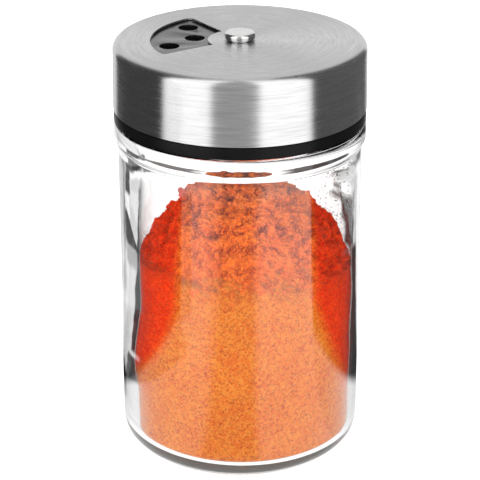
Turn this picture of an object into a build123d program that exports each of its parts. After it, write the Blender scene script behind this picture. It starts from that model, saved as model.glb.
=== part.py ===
"""A spice jar with a swivel shaker lid, in millimetres, +Z up.

The glass jar stands on the ring under its base, whose centre is the origin.  A black screw
closure is threaded on the jar's neck over a soft gasket.  Its top plate has four stations: three
round holes, fine holes, one large opening and a blank.  A drawn steel cover with one sector window
turns on the closure about a headed rivet and brings one station at a time under the window.
The view in the photograph looks along +Y.
"""
from build123d import *

import os
from math import cos, hypot, pi, radians, sin, sqrt, tan, tau

# Steel cover, which sets the width of everything below it
cover_radius = 25.0
cover_sheet = 0.4
cover_flare = 0.2
cover_edge_radius = 1.6
window_inner_radius = 6.3
window_outer_radius = 17.6
window_from_angle = 124.5
window_to_angle = 213.7
window_corner_radius = 0.7

# Running gaps between pieces that move on each other
turning_gap = 0.3
bearing_gap = 0.1
rivet_turning_gap = 0.15
thread_gap = 0.3
thread_flank_gap = 0.2
gasket_gap = 0.05

# Screw closure
closure_wall = 1.7
plate_thickness = 1.75
hub_boss_radius = 7.1
hub_boss_height = 0.05
ring_inset = 0.1
ring_height = 2.45
ring_to_cover_gap = 0.2
ring_to_jar_gap = 0.25
ring_edge_radius = 0.3
closure_edge_radius = 1.2

# Stations of the closure's top plate, counted counter-clockwise from the first
station_angle = 164.5
station_count = 4
shake_hole_radius = 1.97
shake_outer_pitch_radius = 14.0
shake_inner_pitch_radius = 9.25
shake_hole_spread = 26.6
fine_hole_radius = 0.8
fine_hole_pitch = 3.3
pour_inner_radius = 8.2
pour_outer_radius = 15.8
pour_span = 52.0
pour_corner_radius = 1.5

# Screw thread, one right-handed start
thread_pitch = 4.2
thread_depth = 1.3
thread_turns = 1.25
thread_root_width = 2.0
thread_crest_width = 0.9
thread_fade_turns = 0.12
thread_end_share = 0.08
thread_bury = 0.4
thread_below_rim = 1.75
thread_start_angle = 30.0
sections_per_turn = 28

# Glass jar
neck_height = 12.7
neck_wall = 2.4
shoulder_width = 3.45
shoulder_height = 69.6
bead_bulge = 0.8
bead_foot = 2.2
bead_drop = 2.0
bead_edge_radius = 0.6
jar_wall = 1.65
base_thickness = 2.5
body_taper = 0.25
heel_radius = 4.0
inner_heel_radius = 1.8
foot_width = 3.0
push_up = 1.0
push_up_edge_width = 2.5
push_up_edge_radius = 1.5
rim_edge_radius = 0.8
neck_root_radius = 0.6
throat_rise = 0.6
inner_shoulder_height = 4.8
inner_shoulder_power = 2.6

# The blown wall is thicker on the left, most of all above the lower part, as the photograph shows
low_thick_side = 0.9
thick_side = 1.8
thick_from_height = 14.0
thick_to_height = 33.0
wall_sections = 6
shoulder_sections = 7

# Gasket between the rim and the closure's plate
gasket_thickness = 0.9
gasket_overhang = 0.7
gasket_side_gap = 0.3

# Headed rivet and its washer
head_radius = 3.05
head_height = 1.45
head_top_radius = 0.6
head_under_radius = 0.25
head_foot_radius = 2.7
head_foot_height = 0.15
shank_radius = 1.5
shank_fit = 0.05
washer_radius = 3.6
washer_thickness = 0.5
tail_radius = 2.4
tail_height = 0.8
tail_edge_radius = 0.35

# Ground spice
spice_gap = 0.15
spice_wall_height = 41.55
spice_slope = 52.0
spice_peak_round = 10.0
spice_tilt = 0.067
lump_size = 9.0
lump_height = 0.6
crumb_size = 4.6
crumb_height = 0.5
heap_grid = 44

cut_overrun = 1.0
surface_tolerance = 0.02

# Radii worked out from the cover inwards
cover_inner_radius = cover_radius - cover_sheet
closure_radius = cover_inner_radius - turning_gap
ring_radius = cover_radius + cover_flare - ring_inset
closure_bore_radius = closure_radius - closure_wall
jar_thread_radius = closure_bore_radius - thread_gap
neck_radius = jar_thread_radius - thread_depth
closure_thread_radius = closure_bore_radius - thread_depth
mouth_radius = neck_radius - neck_wall
jar_radius = neck_radius + shoulder_width
jar_inner_radius = jar_radius - jar_wall

# Heights worked out from the base upwards
ring_bottom = shoulder_height + ring_to_jar_gap
ring_top = ring_bottom + ring_height
cover_bottom = ring_top + ring_to_cover_gap
rim_top = shoulder_height + neck_height
inner_shoulder_top = shoulder_height + throat_rise
inner_shoulder_bottom = inner_shoulder_top - inner_shoulder_height
gasket_bottom = rim_top + gasket_gap
gasket_top = gasket_bottom + gasket_thickness
plate_bottom = gasket_top + gasket_gap
plate_top = plate_bottom + plate_thickness
hub_top = plate_top + hub_boss_height
cover_under = hub_top + bearing_gap
cover_top = cover_under + cover_sheet
head_bottom = cover_top + bearing_gap
head_top = head_bottom + head_height
washer_bottom = plate_bottom - washer_thickness
tail_bottom = washer_bottom - tail_height


def rounded(profile, corners):
    """The flat profile with each named corner rounded to its own radius."""
    for corner, radius in corners:
        vertex = profile.vertices().sort_by_distance(Vector(*corner))[0]
        profile = fillet(vertex, radius)
    return profile


def turned(profile):
    """A solid of revolution about Z from a profile drawn as (radius, height)."""
    return revolve(Plane.XZ * profile, Axis.Z)


def polar(radius, angle):
    return (radius * cos(radians(angle)), radius * sin(radians(angle)))


def thread_ridge(root_radius, crest_radius, bury, bottom):
    """A helical ridge from its root towards its crest, low at both ends, as one smooth loft."""
    sections = []
    count = round(thread_turns * sections_per_turn)
    for index in range(count + 1):
        turn = thread_turns * index / count
        to_end = min(turn, thread_turns - turn) / thread_fade_turns
        rise_share = sin(min(to_end, 1.0) * pi / 2) ** 2
        height_share = thread_end_share + (1 - thread_end_share) * rise_share
        crest = root_radius + (crest_radius - root_radius) * height_share
        middle = bottom + turn * thread_pitch
        angle = radians(thread_start_angle) + turn * tau
        outline = [
            (root_radius + bury, -thread_root_width / 2),
            (root_radius + bury, thread_root_width / 2),
            (crest, thread_crest_width / 2),
            (crest, -thread_crest_width / 2),
        ]
        points = [Vector(r * cos(angle), r * sin(angle), middle + z) for r, z in outline]
        sections.append(Wire.make_polygon(points, close=True))
    return Solid.make_loft(sections, ruled=False)


thread_top = rim_top - thread_below_rim
jar_thread_bottom = thread_top - thread_turns * thread_pitch
flank_slope = (thread_root_width - thread_crest_width) / (2 * thread_depth)
thread_contact_offset = (thread_root_width + thread_crest_width) / 2 - flank_slope * thread_gap
closure_thread_bottom = jar_thread_bottom - thread_contact_offset - thread_flank_gap


def eased(share):
    """Zero to one with a level start and end."""
    share = min(max(share, 0.0), 1.0)
    return share**2 * (3 - 2 * share)


def wall_circle(height, gap=0.0):
    """The inner wall at a height: a circle that draws in from the thick side."""
    rise = (height - thick_from_height) / (thick_to_height - thick_from_height)
    shift = (low_thick_side + (thick_side - low_thick_side) * eased(rise)) / 2
    narrowing = eased((height - inner_shoulder_bottom) / inner_shoulder_height) ** inner_shoulder_power
    radius = jar_inner_radius - shift
    radius += (mouth_radius - radius) * narrowing
    return Pos(shift * (1 - narrowing), 0, height) * Circle(radius - gap)


def jar_space(top, gap=0.0):
    """The space inside the jar from its floor to a height, drawn in from the wall by a gap."""
    shift = low_thick_side / 2
    radius = jar_inner_radius - shift - gap
    corner = (radius, base_thickness)
    low = Polyline((0, base_thickness), corner, (radius, thick_from_height), (0, thick_from_height), close=True)
    space = Pos(shift, 0, 0) * turned(rounded(make_face(low), [(corner, inner_heel_radius)]))
    spans = [(thick_from_height, thick_to_height, wall_sections), (thick_to_height, inner_shoulder_bottom, 1)]
    if top > inner_shoulder_bottom:
        spans.append((inner_shoulder_bottom, inner_shoulder_top, shoulder_sections))
    for bottom, end, steps in spans:
        circles = [wall_circle(bottom + (end - bottom) * step / steps, gap) for step in range(steps + 1)]
        space += loft(circles)
    return space


def glass_jar():
    bead_radius = jar_radius + bead_bulge
    bead_middle = shoulder_height - bead_drop
    bead_arc_radius = (bead_foot**2 + bead_bulge**2) / (2 * bead_bulge)
    bead_top_radius = bead_radius - (bead_arc_radius - sqrt(bead_arc_radius**2 - bead_drop**2))
    heel_corner_radius = jar_radius + body_taper
    foot_inner_radius = heel_corner_radius - heel_radius - foot_width
    push_up_radius = foot_inner_radius - push_up_edge_width

    push_up_edge = (push_up_radius, push_up)
    foot_inner = (foot_inner_radius, 0)
    heel = (heel_corner_radius, 0)
    bead_start = (jar_radius, bead_middle - bead_foot)
    bead_end = (bead_top_radius, shoulder_height)
    neck_root = (neck_radius, shoulder_height)
    rim_outer = (neck_radius, rim_top)
    rim_inner = (mouth_radius, rim_top)
    throat = (mouth_radius, inner_shoulder_top)
    outline = [
        Polyline((0, inner_shoulder_top), (0, push_up), push_up_edge, foot_inner, heel, bead_start),
        ThreePointArc(bead_start, (bead_radius, bead_middle), bead_end),
        Polyline(bead_end, neck_root, rim_outer, rim_inner, throat, (0, inner_shoulder_top)),
    ]
    profile = rounded(
        make_face(outline),
        [
            (push_up_edge, push_up_edge_radius),
            (foot_inner, push_up_edge_radius),
            (heel, heel_radius),
            (bead_end, bead_edge_radius),
            (neck_root, neck_root_radius),
            (rim_outer, rim_edge_radius),
            (rim_inner, rim_edge_radius),
        ],
    )
    ridge = thread_ridge(neck_radius, jar_thread_radius, -thread_bury, jar_thread_bottom)
    return turned(profile) - jar_space(inner_shoulder_top) + ridge


def shake_holes():
    """Three round holes: two near the edge of the plate and one near the hub."""
    centres = [
        polar(shake_outer_pitch_radius, station_angle - shake_hole_spread),
        polar(shake_outer_pitch_radius, station_angle + shake_hole_spread),
        polar(shake_inner_pitch_radius, station_angle),
    ]
    return Sketch() + [Pos(*centre) * Circle(shake_hole_radius) for centre in centres]


def fine_holes():
    """Seven fine holes, six round one, at the second station."""
    middle_radius = (window_inner_radius + window_outer_radius) / 2
    middle = polar(middle_radius, station_angle + 360 / station_count)
    holes = [Circle(fine_hole_radius)]
    holes += PolarLocations(fine_hole_pitch, 6) * Circle(fine_hole_radius)
    return Pos(*middle) * (Sketch() + holes)


def sector(inner_radius, outer_radius, from_angle, to_angle, corner_radius):
    """A flat ring sector with rounded corners."""
    middle_angle = (from_angle + to_angle) / 2
    corners = [
        polar(inner_radius, from_angle),
        polar(outer_radius, from_angle),
        polar(outer_radius, to_angle),
        polar(inner_radius, to_angle),
    ]
    outline = [
        Line(corners[0], corners[1]),
        ThreePointArc(corners[1], polar(outer_radius, middle_angle), corners[2]),
        Line(corners[2], corners[3]),
        ThreePointArc(corners[3], polar(inner_radius, middle_angle), corners[0]),
    ]
    return rounded(make_face(outline), [(corners[1], corner_radius), (corners[2], corner_radius)])


def pour_opening():
    """One large opening at the fourth station; the third station is blank."""
    middle_angle = station_angle - 360 / station_count
    return sector(
        pour_inner_radius,
        pour_outer_radius,
        middle_angle - pour_span / 2,
        middle_angle + pour_span / 2,
        pour_corner_radius,
    )


def through(sketch, bottom, top):
    """The sketch as a cutter that runs past both heights."""
    return Pos(0, 0, bottom - cut_overrun) * extrude(sketch, top - bottom + 2 * cut_overrun)


def screw_closure():
    skirt_foot = (closure_bore_radius, ring_bottom)
    ring_low = (ring_radius, ring_bottom)
    ring_high = (ring_radius, ring_top)
    ring_step = (closure_radius, ring_top)
    plate_edge = (closure_radius, plate_top)
    hub_low = (hub_boss_radius, plate_top)
    hub_high = (hub_boss_radius, hub_top)
    outline = Polyline(
        skirt_foot,
        ring_low,
        ring_high,
        ring_step,
        plate_edge,
        hub_low,
        hub_high,
        (0, hub_top),
        (0, plate_bottom),
        (closure_bore_radius, plate_bottom),
        close=True,
    )
    profile = rounded(
        make_face(outline),
        [
            (ring_low, ring_edge_radius),
            (ring_high, ring_edge_radius),
            (plate_edge, closure_edge_radius),
        ],
    )
    rivet_hole = Circle(shank_radius + shank_fit)
    openings = Sketch() + [shake_holes(), fine_holes(), pour_opening(), rivet_hole]
    ridge = thread_ridge(closure_bore_radius, closure_thread_radius, thread_bury, closure_thread_bottom)
    return turned(profile) + ridge - through(openings, plate_bottom, hub_top)


def rim_gasket():
    inner_radius = neck_radius - neck_wall + rim_edge_radius / 2
    outer_radius = min(neck_radius + gasket_overhang, closure_bore_radius - gasket_side_gap)
    ring = Circle(outer_radius) - Circle(inner_radius)
    return Pos(0, 0, gasket_bottom) * extrude(ring, gasket_thickness)


def steel_cover():
    """A drawn shell: flat top, rounded edge and plain skirt, with the sector window and a hole."""
    outer_edge = (cover_radius, cover_top)
    inner_edge = (cover_inner_radius, cover_under)
    outline = Polyline(
        (0, cover_under),
        inner_edge,
        (cover_inner_radius + cover_flare, cover_bottom),
        (cover_radius + cover_flare, cover_bottom),
        outer_edge,
        (0, cover_top),
        close=True,
    )
    profile = rounded(
        make_face(outline),
        [(outer_edge, cover_edge_radius), (inner_edge, cover_edge_radius - cover_sheet)],
    )
    window = sector(
        window_inner_radius,
        window_outer_radius,
        window_from_angle,
        window_to_angle,
        window_corner_radius,
    )
    openings = Sketch() + [window, Circle(shank_radius + rivet_turning_gap)]
    return turned(profile) - through(openings, cover_under, cover_top)


def centre_rivet():
    """Headed pin: head on a small foot over the cover, shank through, tail over the washer."""
    head_upper = (head_radius, head_top)
    head_lower = (head_radius, head_bottom + head_foot_height)
    tail_low = (tail_radius, tail_bottom)
    outline = Polyline(
        (0, head_top),
        head_upper,
        head_lower,
        (head_foot_radius, head_bottom + head_foot_height),
        (head_foot_radius, head_bottom),
        (shank_radius, head_bottom),
        (shank_radius, washer_bottom),
        (tail_radius, washer_bottom),
        tail_low,
        (0, tail_bottom),
        close=True,
    )
    return turned(
        rounded(
            make_face(outline),
            [
                (head_upper, head_top_radius),
                (head_lower, head_under_radius),
                (tail_low, tail_edge_radius),
            ],
        )
    )


def rivet_washer():
    ring = Circle(washer_radius) - Circle(shank_radius + shank_fit)
    return Pos(0, 0, washer_bottom) * extrude(ring, washer_thickness)


def waves(x, y, size):
    """Rounded bumps about as wide as the size, between minus one and one, that never line up."""
    turns = tau / size
    across = sin(turns * (0.94 * x + 0.34 * y) + 1.0) * sin(turns * (0.26 * y - 0.91 * x) * 0.63 + 2.0)
    along = sin(turns * (0.98 * y - 0.21 * x) * 0.81 + 0.5) * sin(turns * (0.77 * x + 0.64 * y) * 0.57)
    return (across + along) / 2


def heap_height(x, y):
    """The heap's surface: a rounded cone over the middle of the space, tilted a little, with lumps."""
    shift = thick_side / 2
    wall_radius = jar_inner_radius - shift
    slope = tan(radians(spice_slope))
    to_wall = hypot(wall_radius, spice_peak_round) - spice_peak_round
    from_middle = hypot(x - shift, y)
    height = spice_wall_height + slope * (to_wall - hypot(from_middle, spice_peak_round) + spice_peak_round)
    height += lump_height * waves(x, y, lump_size) + crumb_height * waves(y, x, crumb_size)
    return height - spice_tilt * x


def spice_fill():
    """Ground spice, pressed against the wall low down and heaped at its angle of repose above."""
    reach = jar_inner_radius + cut_overrun
    places = [reach * (2 * step / heap_grid - 1) for step in range(heap_grid + 1)]
    points = [[Vector(x, y, heap_height(x, y)) for y in places] for x in places]
    surface = Face.make_surface_from_array_of_points(points, tol=surface_tolerance)
    below = extrude(surface, amount=shoulder_height, dir=(0, 0, -1))
    return jar_space(thick_to_height, spice_gap) & below


pieces = {
    "glass_jar": glass_jar,
    "screw_closure": screw_closure,
    "rim_gasket": rim_gasket,
    "steel_cover": steel_cover,
    "centre_rivet": centre_rivet,
    "rivet_washer": rivet_washer,
    "spice_fill": spice_fill,
}

os.makedirs("parts", exist_ok=True)
for name, make in pieces.items():
    piece = make()
    solids = piece.solids()
    export_step(solids[0] if len(solids) == 1 else Compound(solids), f"parts/{name}.step")
    print(name, "solids", len(solids), "volume", round(piece.volume, 1), "valid", piece.is_valid)
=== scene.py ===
from math import asin, cos, degrees, hypot, pi, radians, sin, sqrt, tan, tau

import bmesh
import bpy
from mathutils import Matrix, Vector, noise


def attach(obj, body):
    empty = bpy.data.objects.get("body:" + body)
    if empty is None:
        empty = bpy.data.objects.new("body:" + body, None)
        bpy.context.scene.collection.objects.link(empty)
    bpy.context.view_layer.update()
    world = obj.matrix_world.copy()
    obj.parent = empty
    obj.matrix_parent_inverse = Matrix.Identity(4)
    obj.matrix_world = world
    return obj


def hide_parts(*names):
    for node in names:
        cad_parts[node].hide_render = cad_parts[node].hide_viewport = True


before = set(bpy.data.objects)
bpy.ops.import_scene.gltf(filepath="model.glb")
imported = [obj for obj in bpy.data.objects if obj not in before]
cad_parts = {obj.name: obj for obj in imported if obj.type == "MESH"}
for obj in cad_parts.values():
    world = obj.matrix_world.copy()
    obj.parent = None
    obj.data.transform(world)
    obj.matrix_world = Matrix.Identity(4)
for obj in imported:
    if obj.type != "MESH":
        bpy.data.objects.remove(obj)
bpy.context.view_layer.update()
print("frame loaded")

mm = 0.001
white = (1.0, 1.0, 1.0)
black = (0.0, 0.0, 0.0)


# Small helpers for node trees.

def feed(tree, node, values):
    # links sockets to a node's inputs, and sets plain values on them
    for key, value in values.items():
        if isinstance(value, bpy.types.NodeSocket):
            tree.links.new(value, node.inputs[key])
        else:
            node.inputs[key].default_value = value
    return node


def addNode(tree, kind, inputs=None, **settings):
    node = tree.nodes.new(kind)
    for name, value in settings.items():
        setattr(node, name, value)
    return feed(tree, node, inputs or {})


def calc(tree, operation, first, second=0.0, third=0.0):
    return addNode(tree, "ShaderNodeMath", {0: first, 1: second, 2: third}, operation=operation).outputs[0]


def plus(tree, first, second):
    return calc(tree, "ADD", first, second)


def minus(tree, first, second):
    return calc(tree, "SUBTRACT", first, second)


def times(tree, first, second):
    return calc(tree, "MULTIPLY", first, second)


def ramp(tree, value, low, high, fromValue=0.0, toValue=1.0):
    inputs = {"Value": value, "From Min": low, "From Max": high, "To Min": fromValue, "To Max": toValue}
    return addNode(tree, "ShaderNodeMapRange", inputs, interpolation_type="SMOOTHSTEP").outputs["Result"]


def fall(tree, value, low, high):
    return ramp(tree, value, low, high, 1.0, 0.0)


def opaque(colour):
    return colour if isinstance(colour, bpy.types.NodeSocket) else (*colour, 1.0)


def blendColours(tree, factor, first, second):
    inputs = {0: factor, 6: opaque(first), 7: opaque(second)}
    return addNode(tree, "ShaderNodeMix", inputs, data_type="RGBA").outputs[2]


def blendValues(tree, factor, first, second):
    return addNode(tree, "ShaderNodeMix", {0: factor, 2: first, 3: second}, data_type="FLOAT").outputs[0]


def addNoise(tree, place, scale, detail, roughness=0.5):
    inputs = {"Vector": place, "Scale": scale, "Detail": detail, "Roughness": roughness}
    return addNode(tree, "ShaderNodeTexNoise", inputs).outputs


def addCells(tree, place, scale):
    return addNode(tree, "ShaderNodeTexVoronoi", {"Vector": place, "Scale": scale}).outputs


def addBump(tree, strength, distance, height):
    # the distance is in millimetres
    inputs = {"Strength": strength, "Distance": distance * mm, "Height": height}
    return addNode(tree, "ShaderNodeBump", inputs).outputs[0]


def objectPlace(tree):
    return addNode(tree, "ShaderNodeTexCoord").outputs["Object"]


def splitPlace(tree, place):
    return addNode(tree, "ShaderNodeSeparateXYZ", {0: place}).outputs


def lengthOf(tree, across, along):
    return calc(tree, "SQRT", plus(tree, calc(tree, "POWER", across, 2.0), calc(tree, "POWER", along, 2.0)))


def newGroup(name, inputs, outputs):
    # every group reads a place, and the values that inputs names; outputs names the kind of each result
    group = bpy.data.node_groups.new(name, "ShaderNodeTree")
    face = group.interface
    face.new_socket("Place", in_out="INPUT", socket_type="NodeSocketVector")
    for socketName, value in inputs.items():
        face.new_socket(socketName, in_out="INPUT", socket_type="NodeSocketFloat").default_value = value
    for socketName, kind in outputs.items():
        face.new_socket(socketName, in_out="OUTPUT", socket_type=f"NodeSocket{kind}")
    return group, group.nodes.new("NodeGroupInput").outputs, group.nodes.new("NodeGroupOutput")


def useGroup(tree, group, values):
    return addNode(tree, "ShaderNodeGroup", values, node_tree=group).outputs


def newMaterial(name, base, settings):
    material = bpy.data.materials.new(name)
    material.use_nodes = True
    material.diffuse_color = opaque(base)
    tree = material.node_tree
    shader = feed(tree, tree.nodes["Principled BSDF"], {"Base Color": opaque(base), **settings})
    return material, tree, shader


# Small helpers for meshes. Outlines and profiles are in millimetres.

def pick(values, names):
    return [values[name] for name in names.split()]


def polar(radius, angle):
    return radius * cos(radians(angle)), radius * sin(radians(angle))


def arcPoints(centre, radius, fromAngle, toAngle, steps):
    points = []
    for step in range(steps + 1):
        x, y = polar(radius, fromAngle + (toAngle - fromAngle) * step / steps)
        points.append((centre[0] + x, centre[1] + y))
    return points


def smoothStep(low, high, value):
    share = min(1.0, max(0.0, (value - low) / (high - low)))
    return share * share * (3 - 2 * share)


def addObject(name, data):
    obj = bpy.data.objects.new(name, data)
    bpy.context.scene.collection.objects.link(obj)
    return obj


def finishMesh(name, mesh, material, sharpAngle=None):
    mesh.materials.clear()
    mesh.materials.append(material)
    mesh.shade_smooth()
    if sharpAngle is not None:
        mesh.set_sharp_from_angle(angle=radians(sharpAngle))
    return addObject(name, mesh)


def placePiece(obj, node, body):
    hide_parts(node)
    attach(obj, body)


def asMesh(bm, name):
    bmesh.ops.remove_doubles(bm, verts=bm.verts, dist=1e-8)
    bmesh.ops.recalc_face_normals(bm, faces=bm.faces)
    mesh = bpy.data.meshes.new(name)
    bm.to_mesh(mesh)
    bm.free()
    return mesh


def bridgeRings(bm, rings, closed=False):
    pairs = list(zip(rings, rings[1:]))
    if closed:
        pairs.append((rings[-1], rings[0]))
    for lower, upper in pairs:
        for step in range(len(lower)):
            after = (step + 1) % len(lower)
            corners = [lower[step], lower[after], upper[after], upper[step]]
            corners = [vert for place, vert in enumerate(corners) if vert not in corners[:place]]
            if len(corners) > 2:
                bm.faces.new(corners)


def ringedMesh(name, rows, segments, lift=None, closed=False):
    # rows of (radius, height) turned about the axis; lift(angle, row, height) is added to the radius
    bm = bmesh.new()
    rings = []
    for index, (radius, height) in enumerate(rows):
        if radius < 1e-6:
            rings.append([bm.verts.new((0, 0, height * mm))] * segments)
            continue
        ring = []
        for step in range(segments):
            angle = tau * step / segments
            reach = (radius + (lift(angle, index, height) if lift else 0.0)) * mm
            ring.append(bm.verts.new((reach * cos(angle), reach * sin(angle), height * mm)))
        rings.append(ring)
    bridgeRings(bm, rings, closed)
    return asMesh(bm, name)


def applied(obj, name):
    # the object's mesh with its modifiers in it; the object and its modifiers go
    depsgraph = bpy.context.evaluated_depsgraph_get()
    mesh = bpy.data.meshes.new_from_object(obj.evaluated_get(depsgraph), depsgraph=depsgraph)
    mesh.name = name
    bpy.data.objects.remove(obj, do_unlink=True)
    return mesh


def cutAway(mesh, cutters, name):
    body = addObject(name, mesh)
    tools = [addObject(f"cutter{index}", cutter) for index, cutter in enumerate(cutters)]
    for tool in tools:
        modifier = body.modifiers.new("cut", "BOOLEAN")
        modifier.operation = "DIFFERENCE"
        modifier.solver = "EXACT"
        modifier.object = tool
    result = applied(body, name)
    for tool in tools:
        bpy.data.objects.remove(tool, do_unlink=True)
    return result


def bevelled(mesh, width, fromAngle, name):
    body = addObject(name, mesh)
    bevel = body.modifiers.new("worn", "BEVEL")
    bevel.width = width * mm
    bevel.segments = 2
    bevel.limit_method = "ANGLE"
    bevel.angle_limit = radians(fromAngle)
    return applied(body, name)


def prism(outline, bottom, top, name):
    bm = bmesh.new()
    low = [bm.verts.new((x * mm, y * mm, bottom * mm)) for x, y in outline]
    high = [bm.verts.new((x * mm, y * mm, top * mm)) for x, y in outline]
    bm.faces.new(low)
    bm.faces.new(high)
    for index in range(len(outline)):
        after = (index + 1) % len(outline)
        bm.faces.new((low[index], low[after], high[after], high[index]))
    return asMesh(bm, name)


def circleOutline(x, y, radius, steps=40):
    return [(x + radius * cos(tau * i / steps), y + radius * sin(tau * i / steps)) for i in range(steps)]


def sectorOutline(inner, outer, fromAngle, toAngle, corner, steps=36):
    # a ring sector whose two outer corners are rounded
    inset = degrees(asin(corner / (outer - corner)))
    fromCorner, toCorner = polar(outer - corner, fromAngle + inset), polar(outer - corner, toAngle - inset)
    between = toAngle - fromAngle - 2 * inset
    outline = [polar(inner, fromAngle)] + arcPoints(fromCorner, corner, fromAngle - 90, fromAngle + inset, 8)
    outline += [polar(outer, fromAngle + inset + between * i / steps) for i in range(1, steps)]
    outline += arcPoints(toCorner, corner, toAngle - inset, toAngle + 90, 8)
    outline += [polar(inner, toAngle + (fromAngle - toAngle) * i / steps) for i in range(steps)]
    return outline


# Camera, and the studio that shiny surfaces and the powder behind the glass see.

cameraValues = {
    "place": (0.0, -0.33136, 0.18984),
    "pitchDown": 23.955,
    "lens": 132.4,
    "sensor": 36.0,
    "clipStart": 0.01,
}

stageValues = {
    "tableColour": (0.86, 0.86, 0.86),
    "tableLift": 0.34,  # the table's own light, which brings it near white
    "tableReach": 3.0,
    "worldLight": 0.62,
    # light on the powder, through the glass: brightest towards softSide, within softAzimuth
    "softSide": (-0.14, -0.70, 0.70),
    "softRange": (0.60, 0.96),
    "softLight": 1.40,
    "plainLight": 0.20,
    "softAzimuth": (-115, 115, 5),
    # radiance beside the panels: of all that is mirrored, and of the table seen through glass
    "behind": 0.90,
    "tableBehind": 1.35,
    # panels on the world and on the far table: azimuth from the camera's side, to the right positive,
    # from and to, softness in degrees; then radiance
    "farPanels": (
        (-140, 150, 3.0, 0.53),
        (-140, -68.5, 2.0, 0.07),
        (63.5, 150, 2.0, 0.14),
        (-68.5, -24.5, 3.5, 1.80),
        (16.5, 63.5, 3.5, 1.80),
    ),
    "farFrom": 168.0,
    "farSoft": 5.0,
    # panels on the near table: the same, then between which radii in millimetres, and how far each
    # leans in degrees a millimetre; their edges are soft, and ragged by so many degrees and millimetres
    "panelSoft": 2.5,
    "raggedBy": (7.0, 5.0),
    "raggedScale": 90.0,
    # seen through the glass, whatever lies in it
    "sharedPanels": (
        (-138, -104, 3.0, 0.88, 0, 160, 0.0),
        (104, 138, 3.0, 0.90, 0, 160, 0.0),
        (-106, -50, 2.0, 0.03, 0, 168, 0.0),
        (62, 106, 2.0, 0.03, 0, 168, 0.0),
    ),
    # mirrored in the glass
    "mirroredPanels": (
        (-136, -50, 2.0, 0.03, 0, 168, 0.0),
        (62, 136, 2.0, 0.03, 0, 168, 0.0),
    ),
    # seen through the glass wall alone
    "wallPanels": (
        (-126, -104, 2.0, 0.06, 0, 69, 0.0),
        (-120.5, -104, 1.0, 0.04, 74, 160, 0.0),
        (104, 136, 1.5, 0.05, 0, 111, 0.0),
        (104, 130.5, 1.2, 0.04, 111, 150, 0.0),
        (-147.5, -114, 1.5, 0.03, 107, 129, -1.33),
        (-146, -119, 3.0, 0.45, 96, 107, 0.0),
        (-147.5, -137, 1.5, 0.04, 144, 176, 0.0),
        (-147.5, -124, 1.5, 0.05, 166, 178, 0.0),
        (-172, -148.5, 2.0, 0.50, 100, 176, 0.0),
    ),
    # seen through the space inside the jar too
    "spacePanels": (
        (137, 152.5, 1.5, 0.0, 103, 134, 0.35),
        (162, 166.5, 1.0, 0.2, 129, 133, 0.0),
        (161.5, 166.5, 1.5, 0.3, 136, 141, 0.0),
        (140, 167, 3.0, 0.62, 143, 157, 0.0),
        (161, 167, 1.5, 0.05, 151, 156, 0.0),
        (145, 158, 1.5, 0.08, 160, 169, 0.0),
        (-133, -119, 1.0, 0.05, 128, 150, 0.0),
        (-172, -145, 2.0, 0.15, 162, 180, 0.0),
        (-150, -141, 1.5, 0.05, 172, 200, 0.0),
        (163, 177.5, 1.5, 0.06, 172, 232, 0.0),
    ),
    # more glass surfaces than this are crossed behind the wall, and behind the space
    "wallDepth": 1.5,
    "spaceDepth": 3.5,
    # an even glow on the table in front of the jar
    "nearGlow": 0.86,
    "nearMiddle": -52.0,
    "nearRadius": 76.0,
    "nearSoft": 3.0,
    # bands in front, as the panels; they brighten outwards: between which radii, from and to how much
    "veils": (
        (-200, 200, 1.0, 1.15, -5, 27, 0.0),
        (-52, -7, 1.3, 1.00, 30, 168, 0.0),
        (-7, 64.3, 1.3, 1.12, 30, 168, 0.0),
        (-25.5, 11.6, 5.0, 0.26, 30, 168, 0.0),
    ),
    "veilRise": (45, 125, 1.0, 1.28),
    # place, size in metres, watts
    "lamps": (
        ((-0.42, -0.42, 0.36), 0.40, 5.2),
        ((0.40, -0.46, 0.36), 0.40, 5.2),
        ((0.0, 0.10, 0.75), 0.50, 5.0),
    ),
    "lampAim": (0.0, 0.0, 0.045),
}


def makeCamera(values):
    data = bpy.data.cameras.new("camera")
    data.lens = values["lens"]
    data.sensor_width = values["sensor"]
    data.clip_start = values["clipStart"]
    camera = addObject("camera", data)
    camera.location = values["place"]
    camera.rotation_euler = (radians(90 - values["pitchDown"]), 0, 0)
    bpy.context.scene.camera = camera
    bpy.context.scene.view_settings.view_transform = "Standard"


def between(tree, value, low, high, soft):
    rising = ramp(tree, value, low - soft, low + soft)
    return times(tree, rising, fall(tree, value, high - soft, high + soft))


def azimuthOf(tree, across, along):
    return times(tree, calc(tree, "ARCTAN2", across, times(tree, along, -1.0)), 180 / pi)


def farPattern(tree, panels, azimuth, total):
    for low, high, soft, radiance in panels:
        total = blendValues(tree, between(tree, azimuth, low, high, soft), total, radiance)
    return total


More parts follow.
